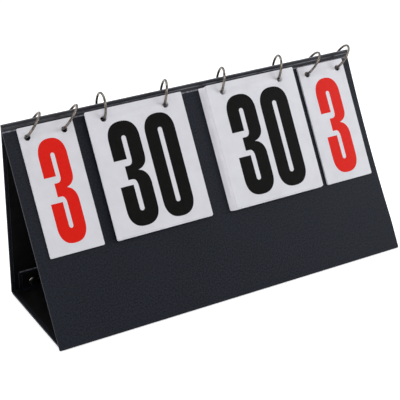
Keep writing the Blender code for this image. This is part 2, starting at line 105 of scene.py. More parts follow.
# Sizes of the looks alone
LARGE_FACE = 2e-5
LEAST_CORNER = 0.0002
SHEET_CORNER = 0.0013
SHEET_TOP_DROP = 0.0009
CUT_EDGE = 0.00005
LINING_EDGE = 0.00012
LINING_MARGIN = 0.0034
LINING_SEAM = 0.0002
RIDGE_MARGIN = 0.0006
# Heights of the pale painted highlight bands at the front panel's top and the flap's top, and their fade
RIDGE_HIGHLIGHT = 0.0017
FLAP_HIGHLIGHT = 0.0008
HIGHLIGHT_FADE = 0.0004
FRONT_BOW = 0.0024
BOW_MIDDLE = -0.085
BOW_REACH = 0.103
BASE_TAPER = 0.0018
FOLD_INSET = 0.004
PRINT_DROP = 0.0152
INK_FILM = 0.00002
SHEET_HANG = 0.00015
SHEET_SLIDE = 0.00018
SHEET_TONE = 0.15
TUNNEL_SLOPE = 0.6
FLOOR_DROP = 0.0005

LEAN = math.asin(FOOT_SPREAD / 2 / SLOPE_LENGTH)
SIN = math.sin(LEAN)
COS = math.cos(LEAN)
RIDGE_HEIGHT = SLOPE_LENGTH * COS
PANEL_THICKNESS = COVER_SKIN + BOARD_CORE + LINING_SKIN + 2 * LAYER_GAP
FLAP_THICKNESS = COVER_SKIN + FLAP_CORE + LINING_SKIN + 2 * LAYER_GAP
PANEL_TOP = (PANEL_THICKNESS * COS + RIDGE_SPLIT) / SIN
PANEL_FOOT = (RIDGE_HEIGHT - PANEL_THICKNESS * SIN) / COS
RING_CENTRE = Vector((0.0, -RING_FORWARD, RIDGE_HEIGHT - RING_DROP))


class Side(Enum):
    """The slopes of the stand, with the sign of their outward Y."""

    FRONT = -1
    BACK = 1


def linear_rgb(hex_colour: str) -> tuple:
    """Convert a hex sRGB colour to linear RGBA.

    Args:
        hex_colour: six hex digits.

    Returns:
        A tuple of linear red, green and blue and an alpha of one.
    """
    channels = []
    for start in (0, 2, 4):
        value = int(hex_colour[start:start + 2], 16) / 255
        channels.append(value / 12.92 if value <= 0.04045 else ((value + 0.055) / 1.055) ** 2.4)
    return (*channels, 1.0)


def on_slope(side: Side, v: float, n: float) -> Vector:
    """Return the world point at x = 0, v down a slope and n above its outer face."""
    y = side.value * (v * SIN + n * COS)
    return Vector((0.0, y, RIDGE_HEIGHT - v * COS + n * SIN))


def slope_matrix(side: Side) -> Matrix:
    """Return the matrix of a slope's own axes: x along the panel, y up the slope, z out of its face.

    Args:
        side: the slope.

    Returns:
        A world matrix with its origin on the ridge line. The back slope's x runs along world -X.
    """
    turn = Matrix.Rotation(math.pi / 2 - LEAN, 4, "X")
    if side is Side.BACK:
        turn = Matrix.Rotation(math.pi, 4, "Z") @ turn
    return Matrix.Translation((0.0, 0.0, RIDGE_HEIGHT)) @ turn


def ring_crossing(n: float) -> float:
    """Return how far down the front slope the rings' wire crosses height n."""
    centre_v = RING_FORWARD * SIN + RING_DROP * COS
    centre_n = RING_FORWARD * COS - RING_DROP * SIN
    return centre_v + math.sqrt(RING_RADIUS ** 2 - (n - centre_n) ** 2)


def wire_top(n: float) -> float:
    """Return the v of the slanting wire's upper side at height n."""
    centre_n = RING_FORWARD * COS - RING_DROP * SIN
    return ring_crossing(n) - WIRE_RADIUS / math.cos(math.asin((n - centre_n) / RING_RADIUS))


class NodeTree:
    """A node tree with short ways to add what the surfaces here are made of."""

    def __init__(self, tree: bpy.types.NodeTree):
        """Keep a material's or world's nodes and links."""
        self.nodes = tree.nodes
        self.links = tree.links

    def add(self, kind: str, inputs: dict = None, **settings) -> Node:
        """Add a node, set its properties, and fill or link its inputs.

        Args:
            kind: the node's type name.
            inputs: input name or number to a value, or to the output socket that feeds it.
            **settings: node properties, such as operation or blend_type.

        Returns:
            The new node.
        """
        made = self.nodes.new(kind)
        for name, value in settings.items():
            setattr(made, name, value)
        for key, value in (inputs or {}).items():
            self.feed(made.inputs[key], value)
        return made

    def feed(self, socket: NodeSocket, value) -> None:
        """Link an output to a socket, or set the socket's plain value."""
        if isinstance(value, NodeSocket):
            self.links.new(value, socket)
        else:
            socket.default_value = value

    def noise(self, coordinates, per_metre: float, detail: float = 3.0, rough: float = 0.55):
        """Return the value of a noise whose features are 1 / per_metre across."""
        made = self.add("ShaderNodeTexNoise", {"Vector": coordinates, "Scale": per_metre,
                                               "Detail": detail, "Roughness": rough})
        return made.outputs["Fac"]

    def cells(self, coordinates, per_metre: float, feature: str = "F1"):
        """Return the distance of a cell pattern whose cells are 1 / per_metre across."""
        made = self.add("ShaderNodeTexVoronoi", {"Vector": coordinates, "Scale": per_metre},
                        feature=feature)
        return made.outputs["Distance"]

    def ramp(self, value, low: float, high: float, to_low: float = 0.0, to_high: float = 1.0):
        """Return a value mapped from one range to another and clamped."""
        made = self.add("ShaderNodeMapRange", {0: value, 1: low, 2: high, 3: to_low, 4: to_high})
        return made.outputs[0]

    def math(self, operation: str, first, second=0.0):
        """Return the result of a maths node."""
        return self.add("ShaderNodeMath", {0: first, 1: second}, operation=operation).outputs[0]

    def mix(self, factor, first, second):
        """Return a mix of two colours."""
        made = self.add("ShaderNodeMix", {0: factor, 6: first, 7: second}, data_type="RGBA")
        return made.outputs[2]

    def bump(self, height, strength: float, distance_mm: float, under=None):
        """Return a normal from a height in the pattern's own scale.

        Args:
            height: the height's socket.
            strength: share of the bump that is used.
            distance_mm: the height in millimetres that a value of one stands for.
            under: an earlier bump's normal to build on.

        Returns:
            The normal's socket.
        """
        inputs = {"Height": height, "Strength": strength, "Distance": distance_mm / 1000}
        if under is not None:
            inputs["Normal"] = under
        return self.add("ShaderNodeBump", inputs).outputs["Normal"]


@dataclass(frozen=True)
class Finish:
    """A surface finish: its colours, gloss, and the scale of its pattern in real millimetres."""

    name: str
    slot: str
    dark: str
    light: str
    roughness: float
    grain_mm: float = 1.0
    relief_mm: float = 0.05
    metallic: float = 0.0
    specular: float = 0.5

    def build(self) -> Material:
        """Return a new material with this finish's values and the surface of its kind."""
        material = bpy.data.materials.new(self.name)
        material.use_nodes = True
        tree = NodeTree(material.node_tree)
        inputs = tree.nodes["Principled BSDF"].inputs
        tree.feed(inputs["Metallic"], self.metallic)
        tree.feed(inputs["Specular IOR Level"], self.specular)
        place = tree.add("ShaderNodeTexCoord").outputs["Object"]
        for name, value in zip(("Base Color", "Roughness", "Normal"), self.surface(tree, place)):
            tree.feed(inputs[name], value)
        return material

    def surface(self, tree: NodeTree, place: NodeSocket) -> tuple:
        """Return the colour, the roughness and the normal of this kind of finish.

        Args:
            tree: the material's tree.
            place: object coordinates, which are real metres on every piece here.

        Returns:
            Three sockets, or a plain value for the roughness.
        """
        raise NotImplementedError

    def colour(self, tree: NodeTree, tone):
        """Return the colour at a tone between dark and light."""
        return tree.mix(tone, linear_rgb(self.dark), linear_rgb(self.light))

    def gloss(self, tree: NodeTree, value, high: float, less: float, more: float):
        """Return a roughness from less below this finish's own to more above it, over 0.3 to high."""
        return tree.ramp(value, 0.3, high, self.roughness - less, self.roughness + more)


@dataclass(frozen=True)
class EmbossedVinyl(Finish):
    """Calendered black vinyl embossed with a fine pebble grain: it breaks up the sheen of a large panel."""

    # From a height upwards the colour turns pale: a painted highlight where a top edge catches light.
    worn_from: float = 1.0
    worn: str = "8a8a93"

    def worn_at(self, place: str, start: float) -> Finish:
        """Return this vinyl with a pale painted highlight from a y upwards on its panel, with a word for
        its name.
        """
        return replace(self, name=f"{self.name}_{place}", worn_from=start)

    def surface(self, tree: NodeTree, place: NodeSocket) -> tuple:
        """Return pebbles, fine pores, and faint handling marks in the gloss."""
        pebble = tree.cells(place, 1000 / self.grain_mm, "SMOOTH_F1")
        pores = tree.noise(place, 3200 / self.grain_mm, 2.0)
        cloth = tree.noise(place, 540 / self.grain_mm, 4.0, 0.7)
        patch = tree.noise(place, 14.0)
        speck = tree.math("MULTIPLY", tree.ramp(cloth, 0.38, 0.64), 0.75)
        colour = self.colour(tree, tree.math("ADD", speck, tree.math("MULTIPLY", patch, 0.25)))
        # Painted highlight: a pale ragged band from a height upwards, standing for light caught on the top
        # edge.
        if self.worn_from < 1.0:
            height = tree.add("ShaderNodeSeparateXYZ", {0: place}).outputs["Y"]
            rubbed = tree.ramp(height, self.worn_from, self.worn_from + HIGHLIGHT_FADE)
            ragged = tree.ramp(tree.noise(place, 260.0, 4.0, 0.7), 0.3, 0.62)
            colour = tree.mix(tree.math("MULTIPLY", rubbed, ragged), colour, linear_rgb(self.worn))
        relief = tree.math("SUBTRACT", tree.math("MULTIPLY", cloth, 0.8), pebble)
        normal = tree.bump(relief, 0.55, self.relief_mm)
        normal = tree.bump(pores, 0.25, self.relief_mm / 3, normal)
        return colour, self.gloss(tree, patch, 0.7, 0.05, 0.06), normal


@dataclass(frozen=True)
class SmoothVinyl(Finish):
    """Smooth black vinyl lining: it shows soft waves and fine scuffs rather than a grain."""

    def surface(self, tree: NodeTree, place: NodeSocket) -> tuple:
        """Return slow waves of the glued sheet with faint rub marks."""
        wave = tree.noise(place, 55.0, 2.0)
        rub = tree.noise(place, 900 / self.grain_mm)
        normal = tree.bump(rub, 0.3, self.relief_mm, tree.bump(wave, 0.35, 0.6))
        return self.colour(tree, tree.ramp(wave, 0.3, 0.7)), self.gloss(tree, rub, 0.75, 0.07, 0.1), normal


@dataclass(frozen=True)
class FoldedVinyl(Finish):
    """Black vinyl stretched over a fold: glossier than the panels, with pale painted highlight lines along
    its crests.
    """

    # Heights and half widths of the painted highlight lines; the next field is their pale colour.
    crests: tuple = ()
    rubbed: str = "7c7e88"

    def surface(self, tree: NodeTree, place: NodeSocket) -> tuple:
        """Return lengthwise strain lines, and painted highlight lines along the crests that come and go and
        grow towards the right.
        """
        apart = tree.add("ShaderNodeSeparateXYZ", {0: place}).outputs
        drawn = tree.add("ShaderNodeMapping", {"Vector": place, "Scale": (0.06, 1.0, 1.0)}).outputs[0]
        strain = tree.noise(drawn, 900 / self.grain_mm)
        colour = self.colour(tree, tree.ramp(strain, 0.35, 0.65))
        # Painted highlight: pale lines along the crests, in patches, stronger towards the right where the
        # sheen falls.
        patches = tree.ramp(tree.noise(place, 90.0), 0.3, 0.6)
        share = tree.math("MULTIPLY", patches, tree.ramp(apart["X"], -0.19, 0.12, 0.3, 1.0))
        for crest, half_width in self.crests:
            away = tree.math("ABSOLUTE", tree.math("SUBTRACT", apart["Z"], crest))
            line = tree.ramp(away, 0.3 * half_width, half_width, 1.0, 0.0)
            colour = tree.mix(tree.math("MULTIPLY", share, line), colour, linear_rgb(self.rubbed))
        return colour, self.roughness, tree.bump(strain, 0.4, self.relief_mm)


@dataclass(frozen=True)
class PressedBoard(Finish):
    """Grey bookbinder's board: short fibres and flecks on its cut and flat faces."""

    def surface(self, tree: NodeTree, place: NodeSocket) -> tuple:
        """Return fibre flecks in colour and relief."""
        fibre = tree.noise(place, 1200 / self.grain_mm, 5.0, 0.7)
        fleck = tree.ramp(tree.cells(place, 420 / self.grain_mm), 0.05, 0.5)
        colour = self.colour(tree, tree.math("MULTIPLY", fibre, fleck))
        return colour, self.roughness, tree.bump(fibre, 0.6, self.relief_mm)


@dataclass(frozen=True)
class CoatedCard(Finish):
    """White coated card: nearly even, with a soft gloss and the slightest tooth."""

    def surface(self, tree: NodeTree, place: NodeSocket) -> tuple:
        """Return faint mottle, a soft coat and each sheet's own shade."""
        mottle = tree.noise(place, 60.0, 2.0)
        tooth = tree.noise(place, 2600 / self.grain_mm, 2.0)
        sheet = tree.add("ShaderNodeAttribute", attribute_name="sheet_shade").outputs["Fac"]
        colour = self.colour(tree, tree.math("SUBTRACT", tree.ramp(mottle, 0.25, 0.75), sheet))
        normal = tree.bump(mottle, 0.1, 0.3, tree.bump(tooth, 0.12, self.relief_mm))
        return colour, self.gloss(tree, tooth, 0.7, 0.03, 0.05), normal


@dataclass(frozen=True)
class ScreenInk(Finish):
    """Screen-printed ink: dense colour with a hint of the screen's texture in its gloss."""

    def surface(self, tree: NodeTree, place: NodeSocket) -> tuple:
        """Return the slight unevenness of the ink film."""
        film = tree.noise(place, 300 / self.grain_mm)
        screen = tree.noise(place, 3500 / self.grain_mm, 1.0)
        return (self.colour(tree, tree.ramp(film, 0.3, 0.7)), self.gloss(tree, film, 0.7, 0.04, 0.06),
                tree.bump(screen, 0.15, self.relief_mm))


@dataclass(frozen=True)
class NickelPlate(Finish):
    """Bright nickel plate over steel wire: fine rub marks, and a mottle of dark and light that is partly
    tarnish and partly painted reflection.
    """

    def surface(self, tree: NodeTree, place: NodeSocket) -> tuple:
        """Return brushed rub marks, small dents, and a mottle that is partly tarnish and partly painted
        reflection.
        """
        reflection_and_tarnish = tree.noise(place, 350 / self.grain_mm)
        marks = tree.noise(place, 4000 / self.grain_mm, 2.0)
        return (self.colour(tree, tree.ramp(reflection_and_tarnish, 0.3, 0.75)), self.gloss(tree, marks, 0.8, 0.06, 0.14),
                tree.bump(reflection_and_tarnish, 0.25, self.relief_mm))


GRAINED_VINYL = EmbossedVinyl("grained_vinyl_calendered", "grained_vinyl", "020307", "20242e", 0.46,
                              grain_mm=0.9, relief_mm=0.13, specular=0.11)
LINING_VINYL = SmoothVinyl("smooth_vinyl_lining", "vinyl_lining", "0c0b0c", "151415", 0.42,
                           relief_mm=0.02, specular=0.10)
# The ridge strip's vinyl, with pale painted highlight lines along its two crests.
STRETCHED_VINYL = FoldedVinyl("smooth_vinyl_stretched", "grained_vinyl", "07080d", "12141b", 0.3,
                              grain_mm=1.6, relief_mm=0.03, specular=0.3,
                              crests=((RIDGE_HEIGHT + 0.0002, 0.0007), (RIDGE_HEIGHT - 0.0034, 0.0006)))
CORE_BOARD = PressedBoard("grey_board_pressed", "grey_board", "6d655a", "9a9285", 0.92)
CARD_WHITE = CoatedCard("card_coated_white", "card_sheet", "c9c8cc", "d2d1d6", 0.34, relief_mm=0.01,
                        specular=0.3)
# A lighter copy of the card for the loose sheets: painted light on their edges, standing for more light
# from the left.
CARD_PAINTED_LIGHT = replace(CARD_WHITE, name="card_coated_white_painted_light", dark="eeedf2", light="f8f6fb")
RED_INK = ScreenInk("ink_screened_red", "card_sheet", "cf170b", "d31c10", 0.34, relief_mm=0.004,
                    specular=0.10)
BLACK_INK = ScreenInk("ink_screened_black", "card_sheet", "0a0908", "0e0d0c", 0.34, relief_mm=0.004,
                      specular=0.05)
# The rings' nickel is darkened to paint in the dark surroundings that the wire reflects; its mottle is
# partly painted reflection and partly tarnish.
NICKEL = NickelPlate("steel_nickel_plated", "nickel_plate", "36302b", "7d766e", 0.15, relief_mm=0.02,
                     metallic=1.0)
STUD_NICKEL = NickelPlate("steel_nickel_pressed", "nickel_plate", "a39d95", "cdc8c1", 0.18,
                          relief_mm=0.01, metallic=1.0)


class Workshop:
    """Makes meshes and dressed objects, and keeps the finished materials."""

    def __init__(self):
        """Start with an empty shelf of materials."""
        self.shelf = {}

    def piece(self, name: str, mesh: Mesh, finish: Finish, matrix: Matrix, body: str,
              stands_for: tuple = ()) -> None:
        """Make an object of a mesh that rides on one body.

        Args:
            name: the piece's name.
            mesh: its mesh.
            finish: its finish.
            matrix: its world matrix.
            body: the body that it rides on.
            stands_for: nodes of the frame that it replaces.
        """
        item = self.link(name, mesh)
        item.matrix_world = matrix
        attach(item, body)
        self.finish(item, finish, stands_for)

    def bend(self, name: str, mesh: Mesh, finish: Finish, bodies: tuple, span: tuple,
             stands_for: tuple = ()) -> None:
        """Make an object of a mesh in world axes, on no body.

        Args:
            name: the piece's name.
            mesh: its mesh in world axes.
            finish: its finish.
            bodies: not used.
            span: not used.
            stands_for: nodes of the frame that it replaces.
        """
        item = self.link(name, mesh)
        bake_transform(item)
        self.finish(item, finish, stands_for)

    def finish(self, item: Object, finish: Finish, stands_for: tuple) -> None:
        """Give a piece its material and the nodes that it replaces."""
        if finish.name not in self.shelf:
            self.shelf[finish.name] = finish.build()
        item.data.materials.clear()
        item.data.materials.append(self.shelf[finish.name])
        if stands_for:
            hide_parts(*stands_for)
        LOG.info("%s in %s", item.name, finish.name)

    @staticmethod
    def link(name: str, data: bpy.types.ID) -> Object:
        """Return a new object of some data, both of one name, in the scene's collection."""
        data.name = name
        item = bpy.data.objects.new(name, data)
        bpy.context.scene.collection.objects.link(item)
        return item

    @staticmethod
    def baked(item: Object) -> Mesh:
        """Return the mesh that an object makes, with its modifiers."""
        evaluated = item.evaluated_get(bpy.context.evaluated_depsgraph_get())
        return bpy.data.meshes.new_from_object(evaluated)

    @staticmethod
    def mesh_of(work: bmesh.types.BMesh, name: str) -> Mesh:
        """Return a bmesh as a new mesh, and free it."""
        mesh = bpy.data.meshes.new(name)
        work.to_mesh(mesh)
        work.free()
        return mesh

    @staticmethod
    def smooth(mesh: Mesh, angle_deg: float = 35.0) -> Mesh:
        """Shade a mesh smooth, and keep its real edges sharp and its large faces flat."""
        mesh.shade_smooth()
        mesh.set_sharp_from_angle(angle=math.radians(angle_deg))
        for face in mesh.polygons:
            if face.area > LARGE_FACE:
                face.use_smooth = False
        return mesh

    @classmethod
    def plate(cls, name: str, outlines: list, thickness: float, n_top: float,
              edge: float = 0.0) -> Mesh:
        """Return a flat plate with eased edges, below n_top in its own axes.

        Args:
            name: the mesh's name.
            outlines: the outer outline and then the holes, as lists of (x, y).
            thickness: the plate's thickness.
            n_top: the local z of its outer face.
            edge: radius of its eased edges.

        Returns:
            The mesh.
        """
        data = bpy.data.curves.new(name, "CURVE")
        data.dimensions = "2D"
        data.fill_mode = "BOTH"
        data.extrude = thickness / 2 - edge
        data.bevel_depth = edge
        data.bevel_resolution = 2
        data.offset = -edge
        for outline in outlines:
            spline = data.splines.new("POLY")
            spline.points.add(len(outline) - 1)
            for target, (x, y) in zip(spline.points, outline):
                target.co = (x, y, 0.0, 1.0)
            spline.use_cyclic_u = True
        curve = cls.link(name, data)
        mesh = cls.baked(curve)
        bpy.data.objects.remove(curve, do_unlink=True)
        work = bmesh.new()
        work.from_mesh(mesh)
        bmesh.ops.remove_doubles(work, verts=work.verts, dist=1e-6)
        bmesh.ops.recalc_face_normals(work, faces=work.faces)
        work.to_mesh(mesh)
        work.free()
        mesh.transform(Matrix.Translation((0.0, 0.0, n_top - thickness / 2)))
        return cls.smooth(mesh)

    @classmethod
    def loft(cls, name: str, rows: list, angle_deg: float, ring: bool = False) -> Mesh:
        """Return a closed mesh over loops of points, each joined to the next one.

        Args:
            name: the mesh's name.
            rows: the loops, of equal length or of one point where they close to a tip.
            angle_deg: edges that turn by more than this stay sharp.
            ring: whether the last loop is joined to the first one, rather than both filled.

        Returns:
            The mesh.
        """
        work = bmesh.new()
        loops = [[work.verts.new(point) for point in row] for row in rows]
        count = max(len(loop) for loop in loops)
        for first, second in zip(loops, loops[1:] + (loops[:1] if ring else [])):
            for i in range(count):
                j = (i + 1) % count
                corners = dict.fromkeys((first[i % len(first)], first[j % len(first)],
                                         second[j % len(second)], second[i % len(second)]))
                if len(corners) > 2:
                    work.faces.new(list(corners))
        for end in (loops[0], loops[-1]):
            if not ring and len(end) > 1:
                work.faces.new(end)
        bmesh.ops.recalc_face_normals(work, faces=work.faces)
        return cls.smooth(cls.mesh_of(work, name), angle_deg)

    @classmethod
    def turned(cls, name: str, profile: list, steps: int = 48) -> Mesh:
        """Return a turned mesh about local z.

        Args:
            name: the mesh's name.
            profile: (radius, z) from one end to the other; a closed ring if the first radius is not zero.
            steps: facets round the axis.

        Returns:
            The mesh.
        """
        turns = [2 * math.pi * i / steps for i in range(steps)]
        rows = [[(radius * math.cos(t), radius * math.sin(t), z) for t in turns] if radius
                else [(0.0, 0.0, z)] for radius, z in profile]
        return cls.loft(name, rows, 35.0, ring=profile[0][0] > 0.0)

    @classmethod
    def strip(cls, name: str, path: list, thickness: float, half: float,
              columns: int = 96) -> Mesh:
        """Return a sheet that follows a path and runs along X, in world axes.

        Args:
            name: the mesh's name.
            path: the sheet's outer line as points, with the sheet to the path's right.
            thickness: the sheet's thickness.
            half: how far it runs to each side.
            columns: divisions along X.

        Returns:
            The mesh.
        """
        line = [(p.y, p.z) for p in path]
        inner = []
        for i, (y, z) in enumerate(line):
            before, after = line[max(i - 1, 0)], line[min(i + 1, len(line) - 1)]
            along = Vector((after[0] - before[0], after[1] - before[1])).normalized()
            inner.append((y + along.y * thickness, z - along.x * thickness))
        section = line + inner[::-1]
        rows = [[(-half + 2 * half * column / columns, y, z) for y, z in section]
                for column in range(columns + 1)]
        return cls.loft(name, rows, 50.0)


def circle(x: float, y: float, radius: float, count: int = 40) -> list:
    """Return points round a circle."""
    turns = [2 * math.pi * i / count for i in range(count)]
    return [(x + radius * math.cos(t), y + radius * math.sin(t)) for t in turns]


def rounded_outline(x0: float, x1: float, y0: float, y1: float, radius: float, steps: int = 7,
                    bow_in: float = 0.0, upper: float = 0.0) -> list:
    """Return a rectangle with round corners whose right side may bow inwards.

    Args:
        x0: left side.
        x1: right side.
        y0: lower side.
        y1: upper side.
        radius: the corners' radius.
        steps: points to a corner.
        bow_in: how far the right side lies inside a straight line where it is hollowest.
        upper: the upper corners' radius, where they have one of their own.

    Returns:
        The outline as (x, y) points.
    """
    upper = upper or radius
    corners = ((x1 - upper, y1 - upper, upper), (x0 + upper, y1 - upper, upper),
               (x0 + radius, y0 + radius, radius), (x1 - radius, y0 + radius, radius))
    outline = []
    for quarter, (cx, cy, r) in enumerate(corners):
        for step in range(steps + 1):
            turn = math.pi / 2 * (quarter + step / steps)
            outline.append((cx + r * math.cos(turn), cy + r * math.sin(turn)))
    if bow_in:
        span, parts = y1 - upper - y0 - radius, 24
        outline += [(x1, y0 + radius + span * i / parts) for i in range(1, parts)]
        hollow = [bow_in * max(0.0, 1.0 - ((y - BOW_MIDDLE) / BOW_REACH) ** 2) for x, y in outline]
        outline = [(x - inward if x > 0 else x, y) for (x, y), inward in zip(outline, hollow)]
    return outline


@dataclass
class CoveredPanel:
    """A covered board: its outer cover with a turned edge, its core, and its lining."""

    name: str
    body: str
    matrix: Matrix
    box: tuple
    n_top: float = 0.0
    core: float = BOARD_CORE
    holes: tuple = ()
    bow_in: float = 0.0
    corner: float = FLAP_CORNER
    upper_corner: float = 0.0
    top_margin: float = LINING_MARGIN
    taper: float = 0.0
    cover_finish: Finish = GRAINED_VINYL
    cover_edge: float = 0.00045

    def outline(self, inset: float, top_inset: float = None) -> list:
        """Return the panel's outline in its own axes, moved in by an inset and one for its upper side."""
        x0, x1, v0, v1 = self.box
        top_inset = inset if top_inset is None else top_inset
        corner = max(self.corner - min(inset, TURNED_EDGE), LEAST_CORNER)
        upper = max(self.upper_corner - inset, LEAST_CORNER) if self.upper_corner else corner
        outline = rounded_outline(x0 + inset, x1 - inset, inset - v1, -v0 - top_inset, corner,
                                  bow_in=self.bow_in, upper=upper)
        narrow = self.taper / (v1 - v0) / x1
        return [(x * (1 - narrow * (y + v1)), y) for x, y in outline]

    def dress(self, shop: Workshop) -> None:
        """Build the cover, the core and the lining and let them ride."""
        holes = [circle(x, -v, radius) for x, v, radius in self.holes]
        depth = COVER_SKIN + LAYER_GAP + self.core
        hollow_top = self.n_top - COVER_SKIN
        core_top = hollow_top - LAYER_GAP
        lining_top = core_top - self.core - LAYER_GAP
        inner = [self.outline(LINING_MARGIN + gap, self.top_margin + gap) for gap in (0.0, LINING_SEAM)]
        cover = self.carve(
            shop.plate("outer", [self.outline(0.0)] + holes, depth, self.n_top, self.cover_edge),
            shop.plate("hollow", [self.outline(TURNED_EDGE)], depth, hollow_top))
        self.join(cover, shop.plate("turned_in", [self.outline(0.0), inner[0]], LINING_SKIN, lining_top,
                                    LINING_EDGE))
        board = shop.plate("core", [self.outline(TURNED_EDGE + LAYER_GAP)] + holes, self.core, core_top,
                           CUT_EDGE)
        lining = shop.plate("inner", [inner[1]] + holes, LINING_SKIN, lining_top, LINING_EDGE)
        for tail, mesh, finish, node in (("_cover_vinyl", cover, self.cover_finish, "_cover"),
                                         ("_core_board", board, CORE_BOARD, "_board"),
                                         ("_inner_vinyl", lining, LINING_VINYL, "_lining")):
            shop.piece(self.name + tail, mesh, finish, self.matrix, self.body, (self.name + node,))

    @staticmethod
    def join(cover: Mesh, turned_in: Mesh) -> None:
        """Add the margin that is turned in over the board's inner face to the cover."""
        work = bmesh.new()
        work.from_mesh(cover)
        work.from_mesh(turned_in)
        work.to_mesh(cover)
        work.free()
        bpy.data.meshes.remove(turned_in)

    @staticmethod
    def carve(cover: Mesh, hollow: Mesh) -> Mesh:
        """Return the cover with the board's hollow taken out of it."""
        items = [Workshop.link(mesh.name, mesh) for mesh in (cover, hollow)]
        cut = items[0].modifiers.new("hollow", "BOOLEAN")
        cut.operation = "DIFFERENCE"
        cut.solver = "MANIFOLD"
        cut.object = items[1]
        carved = Workshop.baked(items[0])
        for item in items:
            bpy.data.objects.remove(item, do_unlink=True)
        return Workshop.smooth(carved)


@dataclass
class RidgeStrip:
    """The vinyl strip over the ridge: a round crown between soft rolls, which lie flat behind for cards."""

    reach: float = PANEL_TOP + 0.00005
    skin: float = 0.0009
    crown_from: float = 0.0016
    rise: float = 0.0003
    front_belly: float = 0.0007
    rear_belly: float = 0.0001
    bend_from: float = 0.0025

    def rolls(self, belly: float) -> list:
        """Return the front line of two soft rolls, from its foot up, with their height above it."""
        path = []
        for step in range(25):
            share = step / 24
            v = self.reach - (self.reach - self.crown_from) * share
            swell = math.sin(2 * math.pi * share) if share < 0.5 else math.sin(math.pi * (share - 0.5))
            path.append(on_slope(Side.FRONT, v, belly * swell ** 0.8 + self.rise * share ** 4))
        return path

    def dress(self, shop: Workshop) -> None:
        """Build the strip in world axes."""
        front, rear = self.rolls(self.front_belly), self.rolls(self.rear_belly)
        crown = []
        for step in range(1, 16):
            turn = math.pi * step / 16
            base = front[-1] if step < 8 else rear[-1]
            high = (RIDGE_HEIGHT + self.rise - base.z) * math.sin(turn)
            crown.append(Vector((0.0, base.y * math.cos(turn), base.z + high)))
        back = [Vector((0.0, -p.y, p.z)) for p in rear[::-1]]
        mesh = shop.strip("ridge_strip_vinyl", front + crown + back, self.skin, BOARD_WIDTH / 2, 160)
        span = [on_slope(side, self.bend_from, 0.0) for side in (Side.FRONT, Side.BACK)]
        shop.bend("ridge_strip_vinyl", mesh, STRETCHED_VINYL, ("front_panel", "back_panel"), span,
                  ("ridge_strip",))


@dataclass
class InnerFold:
    """A vinyl strip that bends in the corner between the base and what leans on a slope."""

    name: str
    side: Side
    face_n: float
    half: float
    leg: float
    skin: float
    bend: float
    share: float
    finish: Finish
    bodies: tuple
    stands_for: tuple = ()
    steps: int = 8

    def path(self, first: Vector, corner: Vector, last: Vector) -> list:
        """Return the line from one leg to the other round a corner.

        Args:
            first: the first leg's end.
            corner: where the legs would meet.
            last: the second leg's end.

        Returns:
            The points.
        """
        a = corner + (first - corner).normalized() * self.bend
        b = corner + (last - corner).normalized() * self.bend
        points = [first + (a - first) * i / self.steps for i in range(self.steps)]
        for i in range(self.steps + 1):
            t = i / self.steps
            points.append(a * (1 - t) ** 2 + corner * 2 * t * (1 - t) + b * t * t)
        return points + [b + (last - b) * i / self.steps for i in range(1, self.steps + 1)]

    def dress(self, shop: Workshop) -> None:
        """Build the strip round its corner, in world axes."""
        wall = self.face_n - LAYER_GAP - self.skin
        floor = PANEL_THICKNESS + LAYER_GAP + self.skin
        v_low = (RIDGE_HEIGHT + wall * SIN - floor) / COS
        corner = on_slope(self.side, v_low, wall)
        legs = [on_slope(self.side, v_low - self.leg, wall),
                Vector((0.0, corner.y - self.side.value * self.leg, floor))]
        if self.side is Side.BACK:
            legs.reverse()
        mesh = shop.strip(self.name, self.path(legs[0], corner, legs[1]), self.skin,
                          self.half - FOLD_INSET)
        span = [corner + (leg - corner) * self.share for leg in legs]
        shop.bend(self.name, mesh, self.finish, self.bodies, span, self.stands_for)


@dataclass
class PressStuds:
    """The two press studs that hold the flap: male stud, socket ring and cap on each."""

    stud_x: float
    stud_v: float
    flap_n: float

    def dress(self, shop: Workshop) -> None:
        """Build and place all six pieces from their profiles of radius and n."""
        knob = -PANEL_THICKNESS - FLAP_GAP
        foot = self.flap_n - FLAP_THICKNESS
        stud = [(0.0, 0.00085), (0.0022, 0.00085), (0.0038, 0.00072), (0.0046, 0.00045),
                (0.0048, 0.00025), (0.0047, 0.00015), (0.0013, 0.00015), (0.0013, knob),
                (0.0017, knob - 0.0003), (0.0017, knob - 0.0007), (0.0014, knob - 0.001),
                (0.0009, knob - 0.0011), (0.0, knob - 0.0011)]
        socket = [(0.0024, knob - 0.0002), (0.0027, knob - 0.00015), (0.0042, knob - 0.00015),
                  (0.0045, knob - 0.0003), (0.0045, foot), (0.0024, foot)]
        top = foot - LAYER_GAP
        cap = [(0.0, top), (0.0054, top), (0.0058, top - 0.0002), (0.0058, top - 0.00042),
               (0.0056, top - 0.0006), (0.0052, top - 0.00062), (0.0050, top - 0.00075),
               (0.0044, top - 0.001), (0.0034, top - 0.0012), (0.0018, top - 0.0013), (0.0, top - 0.0013)]
        for side, x in (("left", -self.stud_x), ("right", self.stud_x)):
            place = slope_matrix(Side.BACK) @ Matrix.Translation((-x, -self.stud_v, 0.0))
            for kind, profile, body in (("stud", stud, "back_panel"), ("socket", socket, "flap"),
                                        ("cap", cap, "flap")):
                name = f"snap_{kind}_{side}"
                shop.piece(name + "_metal", shop.turned(name, profile), STUD_NICKEL, place, body, (name,))


